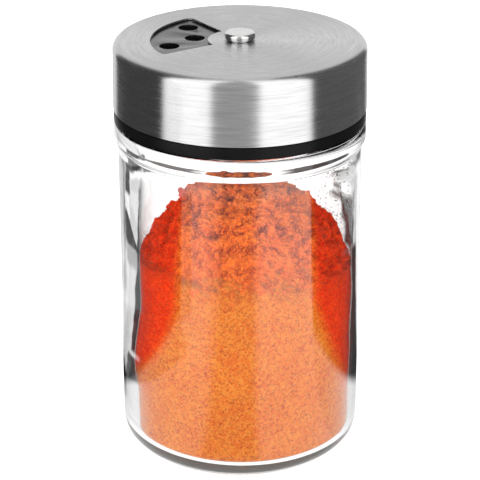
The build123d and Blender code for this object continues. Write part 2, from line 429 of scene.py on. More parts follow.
def makeWorld(values):
    # white to the camera; shiny surfaces see the far panels, and rays through glass a soft light
    world = bpy.data.worlds.new("studio")
    bpy.context.scene.world = world
    world.use_nodes = True
    tree = world.node_tree
    tree.nodes.clear()
    way = addNode(tree, "ShaderNodeTexCoord").outputs["Generated"]
    parts = splitPlace(tree, way)
    azimuth = azimuthOf(tree, parts[0], parts[1])
    rays = addNode(tree, "ShaderNodeLightPath").outputs
    towards = addNode(tree, "ShaderNodeVectorMath", {0: way, 1: values["softSide"]}, operation="DOT_PRODUCT")
    lights = pick(values, "plainLight softLight")
    soft = ramp(tree, towards.outputs["Value"], *values["softRange"], *lights)
    soft = blendValues(tree, between(tree, azimuth, *values["softAzimuth"]), 1.0, soft)
    panels = farPattern(tree, values["farPanels"], azimuth, values["behind"])
    strength = blendValues(tree, rays["Is Glossy Ray"], values["worldLight"], panels)
    strength = blendValues(tree, rays["Is Transmission Ray"], strength, soft)
    strength = blendValues(tree, rays["Is Camera Ray"], strength, 1.0)
    background = addNode(tree, "ShaderNodeBackground", {"Color": opaque(white), "Strength": strength})
    addNode(tree, "ShaderNodeOutputWorld", {"Surface": background.outputs[0]})


def panelled(tree, pattern, panels, azimuth, spread, rise=1.0):
    for low, high, soft, radiance, near, far, lean in panels:
        leaning = calc(tree, "MULTIPLY_ADD", minus(tree, spread, near), -lean, azimuth)
        ring = between(tree, spread, near, far, stageValues["panelSoft"])
        mask = times(tree, between(tree, leaning, low, high, soft), ring)
        pattern = blendValues(tree, mask, pattern, times(tree, rise, radiance))
    return pattern


def tablePattern(tree, values, place, rays):
    # how bright the table is to shiny surfaces and to rays through glass
    spread = times(tree, lengthOf(tree, place[0], place[1]), 1 / mm)
    azimuth = azimuthOf(tree, place[0], place[1])
    ragged = splitPlace(tree, addNoise(tree, objectPlace(tree), values["raggedScale"], 3.0)["Color"])
    turned, moved = (
        times(tree, minus(tree, part, 0.5), size) for part, size in zip(ragged, values["raggedBy"])
    )
    way = (plus(tree, azimuth, turned), plus(tree, spread, moved))
    behind = blendValues(tree, rays["Is Transmission Ray"], values["behind"], values["tableBehind"])
    farFrom, farSoft = pick(values, "farFrom farSoft")
    far = ramp(tree, spread, farFrom - farSoft, farFrom + farSoft)
    pattern = blendValues(tree, far, behind, farPattern(tree, values["farPanels"], azimuth, behind))
    mirrored = panelled(tree, pattern, values["mirroredPanels"], *way)
    shared = panelled(tree, pattern, values["sharedPanels"], *way)
    walls = panelled(tree, shared, values["wallPanels"], *way)
    inside = panelled(tree, shared, values["spacePanels"], *way)
    crossed = rays["Transmission Depth"]
    pattern = blendValues(tree, calc(tree, "GREATER_THAN", crossed, values["wallDepth"]), mirrored, walls)
    pattern = blendValues(tree, calc(tree, "GREATER_THAN", crossed, values["spaceDepth"]), pattern, inside)
    middle, edge, soft = pick(values, "nearMiddle nearRadius nearSoft")
    fromMiddle = times(tree, lengthOf(tree, place[0], minus(tree, place[1], middle * mm)), 1 / mm)
    near = ramp(tree, fromMiddle, edge - soft, edge + soft)
    pattern = blendValues(tree, near, values["nearGlow"], pattern)
    rise = ramp(tree, spread, *values["veilRise"])
    return panelled(tree, pattern, values["veils"], azimuth, spread, rise)


def makeTable(values):
    material, tree, shader = newMaterial(
        "paleTable", values["tableColour"], {"Roughness": 0.9, "Specular IOR Level": 0.0}
    )
    rays = addNode(tree, "ShaderNodeLightPath").outputs
    pattern = tablePattern(tree, values, splitPlace(tree, objectPlace(tree)), rays)

    def emission(strength):
        light = {"Color": opaque(white), "Strength": strength}
        return addNode(tree, "ShaderNodeEmission", light).outputs[0]

    def mixed(factor, first, second):
        return addNode(tree, "ShaderNodeMixShader", {0: factor, 1: first, 2: second}).outputs[0]

    plain = shader.outputs[0]
    lifted = addNode(tree, "ShaderNodeAddShader", {0: plain, 1: emission(values["tableLift"])}).outputs[0]
    seen = mixed(rays["Is Diffuse Ray"], lifted, plain)
    shiny = calc(tree, "MAXIMUM", rays["Is Glossy Ray"], rays["Is Transmission Ray"])
    feed(tree, tree.nodes["Material Output"], {"Surface": mixed(shiny, seen, emission(pattern))})
    far = values["tableReach"]
    mesh = bpy.data.meshes.new("table")
    mesh.from_pydata([(-far, -far, 0), (far, -far, 0), (far, far, 0), (-far, far, 0)], [], [(0, 1, 2, 3)])
    mesh.materials.append(material)
    addObject("table", mesh)


def makeLamps(values):
    for index, (place, size, watts) in enumerate(values["lamps"]):
        data = bpy.data.lights.new(f"softbox{index}", "AREA")
        data.shape = "SQUARE"
        data.size = size
        data.energy = watts
        lamp = addObject(f"softbox{index}", data)
        lamp.location = place
        aim = Vector(values["lampAim"]) - Vector(place)
        lamp.rotation_euler = aim.to_track_quat("-Z", "Y").to_euler()
        lamp.visible_camera = False
        lamp.visible_glossy = False


makeCamera(cameraValues)
makeWorld(stageValues)
makeTable(stageValues)
makeLamps(stageValues)
print("camera and stage set")


# Brushed steel of the cover, and the smoother steel of the rivet.

brushingValues = {
    # each noise: its share of the scratches' number, and its detail
    "noises": {"Streaks": (1.0, 3.0), "Broad": (0.16, 2.0)},
    "roughness": 0.6,
    "streakShare": 0.65,
    "broadShare": 0.35,
}

steelValues = {
    # scratches to the metre across, and around; their depth in millimetres
    "coverSteel": {
        "base": (0.675, 0.672, 0.68),
        "darkShare": 0.74,
        "low": 0.20,
        "high": 0.30,
        "across": 9500.0,
        "around": 3.0,
        "depth": 0.02,
        "anisotropy": 0.95,
    },
    "rivetSteel": {
        "base": (0.84, 0.835, 0.83),
        "darkShare": 0.85,
        "low": 0.10,
        "high": 0.20,
        "across": 6000.0,
        "around": 3.0,
        "depth": 0.01,
        "anisotropy": 0.2,
    },
}


def makeBrushing(values):
    # fine scratches that run round the axis, as on spun sheet
    group, given, result = newGroup(
        "brushing", {"Across": 3000.0, "Around": 3.0}, {"Streaks": "Float", "Broad": "Float"}
    )
    place = splitPlace(group, given["Place"])
    radius = calc(group, "MAXIMUM", lengthOf(group, place[0], place[1]), 1e-5)
    alongSheet = minus(group, radius, place[2])
    east, north = (times(group, calc(group, "DIVIDE", place[i], radius), given["Around"]) for i in (0, 1))
    for name, (share, detail) in values["noises"].items():
        across = times(group, alongSheet, times(group, given["Across"], share))
        stretched = addNode(group, "ShaderNodeCombineXYZ", {0: east, 1: north, 2: across}).outputs[0]
        feed(group, result, {name: addNoise(group, stretched, 1.0, detail, values["roughness"])["Fac"]})
    return group


brushing = makeBrushing(brushingValues)


def steelFinish(name):
    values = steelValues[name]
    base, darkShare, low, high, depth = pick(values, "base darkShare low high depth")
    plain = {
        "Metallic": 1.0,
        "Roughness": (low + high) / 2,
        "Anisotropic": values["anisotropy"],
        "Anisotropic Rotation": 0.25,
    }
    material, tree, shader = newMaterial(name, base, plain)
    given = {"Place": objectPlace(tree), "Across": values["across"], "Around": values["around"]}
    lines = useGroup(tree, brushing, given)
    streaks = times(tree, lines["Streaks"], brushingValues["streakShare"])
    mixed = plus(tree, streaks, times(tree, lines["Broad"], brushingValues["broadShare"]))
    darker = tuple(darkShare * part for part in base)
    finish = {
        "Base Color": blendColours(tree, ramp(tree, mixed, 0.36, 0.64), darker, base),
        "Roughness": ramp(tree, mixed, 0.3, 0.7, low, high),
        "Tangent": addNode(tree, "ShaderNodeTangent", direction_type="RADIAL", axis="Z").outputs[0],
        "Normal": addBump(tree, 0.3, depth, lines["Streaks"]),
    }
    feed(tree, shader, finish)
    return material


coverSteel = steelFinish("coverSteel")
rivetSteel = steelFinish("rivetSteel")


# Black plastic of the closure and grey rubber of the gasket.

mouldValues = {
    # the scales of two noises as shares of the grain
    "broadShare": 0.06,
    "speckShare": 0.45,
    "speckSize": (0.05, 0.16),
    "dustColour": (0.55, 0.5, 0.45),
    "lighter": 1.6,
    "leastLight": 0.0005,
    "sheen": (0.8, 1.25),
}

plasticValues = {
    "closureBlack": {
        "base": (0.0018, 0.0018, 0.0019),
        "roughness": 0.30,
        "grain": 3200.0,
        "dust": 0.02,
        "depth": 0.02,
        "specular": 0.10,
    },
    "sealGrey": {
        "base": (0.62, 0.62, 0.60),
        "roughness": 0.65,
        "grain": 2200.0,
        "dust": 0.1,
        "depth": 0.03,
        "specular": 0.5,
    },
    # the closure's plate is polished, and its ring is not: between which heights, and how rough
    "polish": {"from": 84.8, "to": 84.9, "roughness": 0.2},
}


def makeMouldGrain(values):
    # the faint uneven sheen of moulded plastic or rubber, with a little dust
    group, given, result = newGroup(
        "mouldGrain",
        {"Grain": 2500.0, "Dust": 0.1},
        {"Shade": "Float", "Height": "Float", "Dust Mask": "Float"},
    )
    place, grain = given["Place"], given["Grain"]
    specks = addCells(group, place, times(group, grain, values["speckShare"]))
    mask = fall(group, specks["Distance"], *values["speckSize"])
    finish = {
        "Shade": addNoise(group, place, times(group, grain, values["broadShare"]), 3.0)["Fac"],
        "Height": addNoise(group, place, grain, 2.0)["Fac"],
        "Dust Mask": times(group, mask, given["Dust"]),
    }
    feed(group, result, finish)
    return group


mouldGrain = makeMouldGrain(mouldValues)


def plasticFinish(name):
    base, roughness, grain, dust, depth, specular = pick(
        plasticValues[name], "base roughness grain dust depth specular"
    )
    material, tree, shader = newMaterial(name, base, {"Roughness": roughness, "Specular IOR Level": specular})
    parts = useGroup(tree, mouldGrain, {"Place": objectPlace(tree), "Grain": grain, "Dust": dust})
    lighter = tuple(min(1.0, part * mouldValues["lighter"] + mouldValues["leastLight"]) for part in base)
    shaded = blendColours(tree, parts["Shade"], base, lighter)
    least, most = (roughness * share for share in mouldValues["sheen"])
    finish = {
        "Base Color": blendColours(tree, parts["Dust Mask"], shaded, mouldValues["dustColour"]),
        "Roughness": ramp(tree, parts["Shade"], 0.2, 0.8, least, most),
        "Normal": addBump(tree, 0.3, depth, parts["Height"]),
    }
    feed(tree, shader, finish)
    return material


def polishTop(material, values):
    tree = material.node_tree
    height = splitPlace(tree, objectPlace(tree))[2]
    above = ramp(tree, height, values["from"] * mm, values["to"] * mm)
    coat = {"Coat Roughness": values["roughness"], "Coat Weight": above}
    feed(tree, tree.nodes["Principled BSDF"], coat)


closureBlack = plasticFinish("closureBlack")
polishTop(closureBlack, plasticValues["polish"])
sealGrey = plasticFinish("sealGrey")


# Clear glass with the slow ripple of a pressed wall.

glassValues = {
    "rippleStretch": (1.0, 1.0, 0.45),
    "rippleScale": 120.0,
    "rippleStrength": 0.10,
    "rippleDepth": 0.6,
    # the underside is stippled, and tinted dark grey as painted shade where the jar stands on the table:
    # within which radius and height in millimetres
    "underRadius": (19.0, 20.0),
    "underHeight": (1.1, 1.6),
    "underRoughness": 0.45,
    "underShadeGreys": ((0.020, 0.045, 0.047), (0.13, 0.20, 0.21)),
    "streakScale": 700.0,
    "streakRange": (0.35, 0.65),
    # painted shade: glass seen edge on is tinted grey, standing in for its darker edges
    "edgeShadeRange": (0.62, 0.84),
    "edgeShadeGrey": (0.66, 0.67, 0.665),
}


def makeClearGlass(values):
    material, tree, shader = newMaterial(
        "clearGlass", white, {"Roughness": 0.0, "IOR": 1.5, "Transmission Weight": 1.0}
    )
    place = objectPlace(tree)
    stretched = addNode(tree, "ShaderNodeMapping", {"Vector": place, "Scale": values["rippleStretch"]})
    ripple = addNoise(tree, stretched.outputs[0], values["rippleScale"], 1.0)["Fac"]
    parts = splitPlace(tree, place)
    within = fall(tree, lengthOf(tree, parts[0], parts[1]), *(part * mm for part in values["underRadius"]))
    under = times(tree, within, fall(tree, parts[2], *(part * mm for part in values["underHeight"])))
    # painted shade: grey towards the edges that the glass turns to the eye
    edgeOn = addNode(tree, "ShaderNodeLayerWeight", {"Blend": 0.5}).outputs["Facing"]
    colour = blendColours(tree, ramp(tree, edgeOn, *values["edgeShadeRange"]), white, values["edgeShadeGrey"])
    streaks = addNoise(tree, place, values["streakScale"], 2.0)["Fac"]
    # painted shade: dark grey streaks on the underside stand in for the shade under the jar
    underShade = blendColours(tree, ramp(tree, streaks, *values["streakRange"]), *values["underShadeGreys"])
    finish = {
        "Base Color": blendColours(tree, under, colour, underShade),
        "Roughness": times(tree, under, values["underRoughness"]),
        "Normal": addBump(tree, values["rippleStrength"], values["rippleDepth"], ripple),
    }
    feed(tree, shader, finish)
    return material


clearGlass = makeClearGlass(glassValues)


# Ground dried pepper: pale and dark flakes in a red-orange dust, with painted shade that makes it redder and
# darker at both sides, where Side Shade is high.

powderValues = {
    # colours in front, and with the painted shade of the sides, where Side Shade is high
    "pale": ((0.97, 0.31, 0.030), (0.96, 0.052, 0.002)),
    "deep": ((0.86, 0.15, 0.008), (0.74, 0.020, 0.001)),
    "fleck": ((1.0, 0.50, 0.10), (1.0, 0.20, 0.01)),
    "speck": (0.40, 0.035, 0.006),
    "clot": (0.55, 0.05, 0.012),
    # painted shade: the dark colour laid into the creases between clumps
    "creaseShade": (0.32, 0.03, 0.006),
    # noises: share of the grain, and detail
    "dust": (1.6, 2.0),
    "patches": (0.30, 4.0),
    "clouds": (0.07, 2.0),
    # how patches, clouds and single flakes share in the tone
    "patchShare": 0.6,
    "cloudShare": 0.4,
    "noiseShare": 0.7,
    "flakeShare": 0.3,
    "toneRange": (0.30, 0.70),
    "fleckRange": (0.55, 0.70),
    "fleckShare": 0.5,
    "speckPick": 0.4,
    "speckSoft": 0.08,
    "speckSize": (0.30, 0.62),
    "speckShare": 0.60,
    "clotScale": 0.42,
    "clotSize": (0.18, 0.50),
    "clotPick": (0.78, 0.90),
    "clotShare": 0.45,
    "creaseShadeShare": 0.9,
    "roughness": (0.75, 0.98),
}

spiceValues = {
    # flakes to the metre, depth in millimetres, then shares
    "spicePressed": {"grain": 2600.0, "depth": 0.10, "darkShare": 0.68, "leastDepth": 0.0, "dimmed": 0.14},
    "spiceLoose": {"grain": 2900.0, "depth": 0.14, "darkShare": 0.75, "leastDepth": 0.30, "dimmed": 0.0},
    "base": (0.84, 0.12, 0.01),
    "specular": 0.15,
    "bump": 0.7,
    # where the painted side shade turns the powder redder, in millimetres to the left and right, and how much
    # later lower down
    "left": 11.6,
    "leftBend": 0.0154,
    "leftFrom": 41.0,
    "right": 13.9,
    "rightLean": 0.30,
    "rightFrom": 38.0,
    "soft": 1.5,
}

# dried specks stuck to the glass, dark against the light
driedValues = {
    "base": (0.10, 0.045, 0.03),
    "grain": 2600.0,
    "darkShare": 0.8,
    "tint": (0.07, 0.04, 0.03),
    "tintShare": 0.8,
}


def makeGroundSpice(values):
    group, given, result = newGroup(
        "groundSpice",
        {"Grain": 2600.0, "Dark Share": 0.5, "Depth": 0.0, "Crease Shade": 0.0},
        {"Colour": "Color", "Height": "Float", "Roughness": "Float"},
    )
    place, grain, depth = given["Place"], given["Grain"], given["Depth"]
    flakes = addCells(group, place, grain)
    flake = addNode(group, "ShaderNodeSeparateColor", {0: flakes["Color"]}).outputs
    dust, patches, clouds = (
        addNoise(group, place, times(group, grain, share), detail)["Fac"]
        for share, detail in pick(values, "dust patches clouds")
    )
    pale, deep, flecks = (blendColours(group, depth, *pair) for pair in pick(values, "pale deep fleck"))
    patches, clouds = times(group, patches, values["patchShare"]), times(group, clouds, values["cloudShare"])
    noises = times(group, plus(group, patches, clouds), values["noiseShare"])
    tone = plus(group, noises, times(group, flake[1], values["flakeShare"]))
    body = blendColours(group, ramp(group, tone, *values["toneRange"]), deep, pale)
    fleckMask = times(group, ramp(group, dust, *values["fleckRange"]), values["fleckShare"])
    body = blendColours(group, fleckMask, body, flecks)
    darkest = minus(group, 1.0, times(group, given["Dark Share"], values["speckPick"]))
    picked = ramp(group, flake[0], minus(group, darkest, values["speckSoft"]), darkest)
    speck = times(group, picked, fall(group, flakes["Distance"], *values["speckSize"]))
    body = blendColours(group, times(group, speck, values["speckShare"]), body, values["speck"])
    clots = addCells(group, place, times(group, grain, values["clotScale"]))
    clotPick = addNode(group, "ShaderNodeSeparateColor", {0: clots["Color"]}).outputs[0]
    picked = ramp(group, clotPick, *values["clotPick"], 0.0, values["clotShare"])
    clot = times(group, fall(group, clots["Distance"], *values["clotSize"]), picked)
    body = blendColours(group, clot, body, values["clot"])
    # painted shade: the creases between clumps are darkened with the crease colour
    creaseShadeMask = times(group, given["Crease Shade"], values["creaseShadeShare"])
    finish = {
        "Colour": blendColours(group, creaseShadeMask, body, values["creaseShade"]),
        "Height": plus(group, times(group, flake[1], 0.5), dust),
        "Roughness": ramp(group, flake[2], 0.0, 1.0, *values["roughness"]),
    }
    feed(group, result, finish)
    return group


groundSpice = makeGroundSpice(powderValues)


def sideShadeShare(tree, place):
    # painted shade: redder at both sides, where less light reaches the powder
    left, leftBend, leftFrom, soft = pick(spiceValues, "left leftBend leftFrom soft")
    right, rightLean, rightFrom = pick(spiceValues, "right rightLean rightFrom")
    across, height = (times(tree, place[i], 1 / mm) for i in (0, 2))
    belowLeft = calc(tree, "MAXIMUM", minus(tree, leftFrom, height), 0.0)
    belowRight = calc(tree, "MAXIMUM", minus(tree, rightFrom, height), 0.0)
    left = calc(tree, "MULTIPLY_ADD", times(tree, belowLeft, belowLeft), leftBend, left)
    right = calc(tree, "MULTIPLY_ADD", belowRight, rightLean, right)
    pastLeft = fall(tree, plus(tree, across, left), -soft, soft)
    pastRight = ramp(tree, minus(tree, across, right), -soft, soft)
    return calc(tree, "MAXIMUM", pastLeft, pastRight)


def spiceFinish(name):
    values = spiceValues[name]
    plain = {"Specular IOR Level": spiceValues["specular"]}
    material, tree, shader = newMaterial(name, spiceValues["base"], plain)
    place = objectPlace(tree)
    # painted shade: how far the powder takes its redder, darker side colours
    depth = calc(tree, "MAXIMUM", sideShadeShare(tree, splitPlace(tree, place)), values["leastDepth"])
    given = {
        "Place": place,
        "Grain": values["grain"],
        "Dark Share": values["darkShare"],
        "Depth": depth,
        # painted crease shade, kept on the heap's vertices
        "Crease Shade": addNode(tree, "ShaderNodeAttribute", attribute_name="creaseShade").outputs["Fac"],
    }
    powder = useGroup(tree, groundSpice, given)
    # painted shade: away from the painted side shade, the pressed powder is darkened towards black
    dimmed = times(tree, minus(tree, 1.0, depth), values["dimmed"])
    finish = {
        "Base Color": blendColours(tree, dimmed, powder["Colour"], black),
        "Roughness": powder["Roughness"],
        "Normal": addBump(tree, spiceValues["bump"], values["depth"], powder["Height"]),
    }
    feed(tree, shader, finish)
    return material


def driedFinish(values):
    material, tree, shader = newMaterial("driedSpice", values["base"], {"Roughness": 0.9})
    given = {"Place": objectPlace(tree), "Grain": values["grain"], "Dark Share": values["darkShare"]}
    # the dried specks take the painted side and crease shade colours in full
    powder = useGroup(tree, groundSpice, {**given, "Depth": 1.0, "Crease Shade": 1.0})
    tinted = blendColours(tree, values["tintShare"], powder["Colour"], values["tint"])
    feed(tree, shader, {"Base Color": tinted})
    return material


spicePressed = spiceFinish("spicePressed")
spiceLoose = spiceFinish("spiceLoose")
driedSpice = driedFinish(driedValues)
print("finishes made")


# Steel cover: a drawn shell with one sector window.

coverValues = {
    "segments": 288,
    "radius": 25.0,
    "flare": 0.2,
    "sheet": 0.4,
    "bottom": 72.5,
    "top": 85.6,
    "edgeRadius": 1.6,
    "skirtRows": 10,
    "holeRadius": 1.65,
    "windowInner": 6.3,
    "windowOuter": 17.6,
    "windowFrom": 124.5,
    "windowTo": 213.7,
    "windowCorner": 0.7,
    "edgeBevel": 0.06,
}


def coverProfile(values):
    radius, sheet, bottom, top = pick(values, "radius sheet bottom top")
    edge, flare, rows = pick(values, "edgeRadius flare skirtRows")
    under, inner = top - sheet, radius - sheet
    seat = (radius - edge, top - edge)
    flats = (values["holeRadius"], values["windowInner"], values["windowOuter"] + 1)
    skirt = [(flare * i / rows, seat[1] - (seat[1] - bottom) * i / rows) for i in range(rows + 1)]
    profile = [(reach, top) for reach in flats] + arcPoints(seat, edge, 90, 0, 12)
    profile += [(radius + out, height) for out, height in skirt[1:]]
    profile += [(inner + out, height) for out, height in reversed(skirt)]
    profile += arcPoints(seat, edge - sheet, 0, 90, 8)
    return profile + [(reach, under) for reach in reversed(flats)]


def makeCover(values):
    top, sheet, bevel = pick(values, "top sheet edgeBevel")
    shell = ringedMesh("coverShell", coverProfile(values), values["segments"], closed=True)
    outline = sectorOutline(*pick(values, "windowInner windowOuter windowFrom windowTo windowCorner"))
    window = prism(outline, top - 2 * sheet, top + sheet, "windowTool")
    cut = bevelled(cutAway(shell, [window], "steelCover"), bevel, 50, "steelCover")
    placePiece(finishMesh("steelCover", cut, coverSteel, 35), "steel_cover", "cover")


makeCover(coverValues)
print("steel cover made")


# Headed rivet and its washer.

rivetValues = {
    "segments": 96,
    "headRadius": 3.05,
    "headBottom": 85.7,
    "headTop": 87.15,
    "headRound": 0.6,
    "underRound": 0.25,
    # the dish in the head: its depth, then shares of the radius and of the depth
    "dish": 0.04,
    "dishInner": 0.5,
    "dishOuter": 0.72,
    "dishShare": 0.6,
    "footRadius": 2.7,
    "footHeight": 0.15,
    "shankRadius": 1.5,
    "washerBottom": 82.8,
    "washerTop": 83.3,
    "washerRadius": 3.6,
    "washerPlay": 0.05,
    "washerBevel": 0.1,
    "tailRadius": 2.4,
    "tailBottom": 82.0,
    "tailRound": 0.35,
}


def makeRivet(values):
    head, top, bottom, bend, dish = pick(values, "headRadius headTop headBottom headRound dish")
    under, foot, shank, seat = pick(values, "underRound footRadius shankRadius washerBottom")
    low, tail, tailBend = pick(values, "tailBottom tailRadius tailRound")
    lift = bottom + values["footHeight"]
    profile = [(0, top - dish), (head * values["dishInner"], top - dish * values["dishShare"])]
    profile += [(head * values["dishOuter"], top)]
    profile += arcPoints((head - bend, top - bend), bend, 90, 0, 8)
    profile += arcPoints((head - under, lift + under), under, 0, -90, 5)
    profile += [(foot, lift), (foot, bottom), (shank, bottom), (shank, seat), (tail, seat)]
    profile += arcPoints((tail - tailBend, low + tailBend), tailBend, 0, -90, 5) + [(0, low)]
    mesh = ringedMesh("headedRivet", profile, values["segments"])
    placePiece(finishMesh("headedRivet", mesh, rivetSteel, 40), "centre_rivet", "closure")


def makeWasher(values):
    inner, outer = values["shankRadius"] + values["washerPlay"], values["washerRadius"]
    low, high, bevel = pick(values, "washerBottom washerTop washerBevel")
    profile = [(inner, low), (outer - bevel, low), (outer, low + bevel), (outer, high), (inner, high)]
    mesh = ringedMesh("rivetWasher", profile, values["segments"], closed=True)
    placePiece(finishMesh("rivetWasher", mesh, rivetSteel, 35), "rivet_washer", "closure")


makeRivet(rivetValues)
makeWasher(rivetValues)
print("rivet and washer made")


# The one screw thread that the jar's neck and the closure share.

threadValues = {
    "pitch": 4.2,
    "turns": 1.25,
    "depth": 1.3,
    "rootWidth": 2.0,
    "crestWidth": 0.9,
    "fadeTurns": 0.12,
    "startAngle": 30.0,
    "jarBottom": 75.3,
    "closureBottom": 73.7767,
}


def threadHeight(angle, height, bottom):
    # how far the ridge stands out at this angle and height
    values = threadValues
    base = ((angle - radians(values["startAngle"])) / tau) % 1.0
    half, crest = values["rootWidth"] / 2, values["crestWidth"] / 2
    best = 0.0
    for lap in range(int(values["turns"]) + 2):
        turn = base + lap
        offset = abs(height - (bottom + turn * values["pitch"]))
        if turn <= values["turns"] and offset < half:
            toEnd = min(turn, values["turns"] - turn) / values["fadeTurns"]
            fade = sin(min(toEnd, 1.0) * pi / 2) ** 2
            best = max(best, values["depth"] * (1 - smoothStep(crest, half, offset)) * fade)
    return best


# Glass jar, with the uneven wall of a blown one.

jarValues = {
    "segments": 256,
    # the recess under the base, and the ring it stands on: out from footInner, and height
    "push": 1.0,
    "pushRadius": 15.2,
    "pushFlat": 2.0,
    "pushRise": 0.15,
    "footInner": 17.7,
    "footRing": ((-0.9, 0.28), (-0.3, 0.05), (0.3, 0.0), (1.6, 0.0)),
    "heelOuter": 24.7,
    "heelRadius": 4.0,
    # the body narrows a little between two heights, and swells out again into the bead
    "bodyRadius": 24.45,
    "bodyRows": 40,
    "taperFrom": 9.0,
    "taperTo": 38.0,
    "beadRadius": 25.25,
    "beadHeight": 67.6,
    "beadRows": 24,
    "beadFoot": 2.2,
    "beadBelow": 0.6,
    "beadReach": 0.5,
    "beadFall": 0.7,
    # the shoulder's flat: radius, and above the shoulder
    "shoulder": 69.6,
    "shoulderRound": 0.12,
    "shoulderFlat": ((22.4, 0.0), (21.7, 0.05)),
    "neckRadius": 21.0,
    "neckRows": 52,
    "neckRound": 0.55,
    "neckFoot": 0.6,
    "neckFrom": 1.3,
    "rim": 82.3,
    "mouthRadius": 18.6,
    "mouthTop": 80.0,
    "rimRound": 0.8,
    "innerRadius": 22.8,
    "innerRows": 48,
    "throatHeight": 70.2,
    "throatRows": 20,
    "innerTurnHeight": 65.4,
    "narrowPower": 2.6,
    "floorHeight": 2.5,
    "floorRadius": 8.0,
    "innerHeel": 1.8,
    "innerHeelFlat": 4.0,
    # how much thicker the wall is on one side, low down and above
    "lowThickSide": 0.9,
    "thickSide": 1.8,
    "thickFrom": 14.0,
    "thickTo": 33.0,
    "waver": 0.08,
    "waverAround": 2.6,
    "waverHeight": 17.0,
    "waverFrom": 5.0,
    "waverTo": 12.0,
}


def wallReach(angle, height):
    # radius of the inner wall: a circle that draws in from the thick side, then in to the throat
    values = jarValues
    shift = values["lowThickSide"] / 2
    shift += (values["thickSide"] / 2 - shift) * smoothStep(values["thickFrom"], values["thickTo"], height)
    narrowing = smoothStep(values["innerTurnHeight"], values["throatHeight"], height) ** values["narrowPower"]
    radius = values["innerRadius"] - shift
    radius += (values["mouthRadius"] - radius) * narrowing
    shift *= 1 - narrowing
    around, tall, fromHeight, toHeight = pick(values, "waverAround waverHeight waverFrom waverTo")
    place = Vector((cos(angle) * around, sin(angle) * around, height / tall))
    waver = values["waver"] * noise.noise(place) * smoothStep(fromHeight, toHeight, height) * (1 - narrowing)
    return shift * cos(angle) + sqrt(radius**2 - (shift * sin(angle)) ** 2) - waver


def outerProfile(values):
    # from the middle of the base out, up the body and over the shoulder to the neck
    push, pushRadius, foot, outer, heel = pick(values, "push pushRadius footInner heelOuter heelRadius")
    profile = [(0, push), (pushRadius - values["pushFlat"], push), (pushRadius, push - values["pushRise"])]
    profile += [(foot + out, height) for out, height in values["footRing"]]
    profile += arcPoints((outer - heel, heel), heel, -90, 0, 14)
    body, bead, beadHeight, beadFoot = pick(values, "bodyRadius beadRadius beadHeight beadFoot")
    shoulder, bend, turn = pick(values, "shoulder shoulderRound neckRound")
    bodyTop = beadHeight - beadFoot - values["beadBelow"]
    for index in range(1, values["bodyRows"] + 1):
        height = heel + (bodyTop - heel) * index / values["bodyRows"]
        taper = smoothStep(values["taperFrom"], values["taperTo"], height)
        profile.append((outer + (body - outer) * taper, height))
    for index in range(1, values["beadRows"] + 1):
        height = bodyTop + (shoulder - bend - bodyTop) * index / values["beadRows"]
        away = (height - beadHeight) / (beadFoot + values["beadReach"])
        swell = 1 - values["beadFall"] * away * away
        if away < 0:
            swell = smoothStep(0, 1, max(0.0, 1 - away * away))
        profile.append((body + (bead - body) * swell, height))
    profile += arcPoints((profile[-1][0] - bend, shoulder - bend), bend, 5, 90, 4)
    profile += [(radius, shoulder + rise) for radius, rise in values["shoulderFlat"]]
    centre = (values["neckRadius"] + turn, shoulder + values["neckFoot"])
    return profile + arcPoints(centre, turn, 270, 180, 5)


def innerProfile(values):
    # from the throat down the wall to the floor
    inner, throat, turn, heel = pick(values, "innerRadius throatHeight innerTurnHeight innerHeel")
    bottom, rows, throatRows = values["floorHeight"] + heel, values["innerRows"], values["throatRows"]
    profile = [(inner, throat + (turn - throat) * i / throatRows) for i in range(throatRows + 1)]
    profile += [(inner, turn + (bottom - turn) * i / rows) for i in range(1, rows)]
    return profile + arcPoints((inner - heel, bottom), heel, 0, -90, 10)


def makeJar(values):
    neck, rim, bend, rows = pick(values, "neckRadius rim rimRound neckRows")
    mouth, throat, high, floor = pick(values, "mouthRadius throatHeight mouthTop floorHeight")
    profile = outerProfile(values)
    neckStart, low = len(profile), values["shoulder"] + values["neckFrom"]
    profile += [(neck, low + (rim - bend - low) * i / rows) for i in range(rows + 1)]
    neckEnd = len(profile)
    profile += arcPoints((neck - bend, rim - bend), bend, 10, 90, 6)
    profile += arcPoints((mouth + bend, rim - bend), bend, 90, 180, 6)
    profile += [(mouth, throat + (high - throat) * (1 - i / 6)) for i in range(6)]
    wallStart = len(profile)
    profile += innerProfile(values)
    wallEnd = len(profile)
    flat = values["innerRadius"] - values["innerHeel"] - values["innerHeelFlat"]
    profile += [(flat, floor), (values["floorRadius"], floor), (0, floor)]

    def lift(angle, index, height):
        if neckStart <= index < neckEnd:
            return threadHeight(angle, height, threadValues["jarBottom"])
        return wallReach(angle, height) - values["innerRadius"] if wallStart <= index < wallEnd else 0.0

    mesh = ringedMesh("glassJar", profile, values["segments"], lift)
    placePiece(finishMesh("glassJar", mesh, clearGlass), "glass_jar", "jar")


makeJar(jarValues)
print("glass jar made")


# Screw closure: threaded skirt, lower ring and the plate with its four stations.

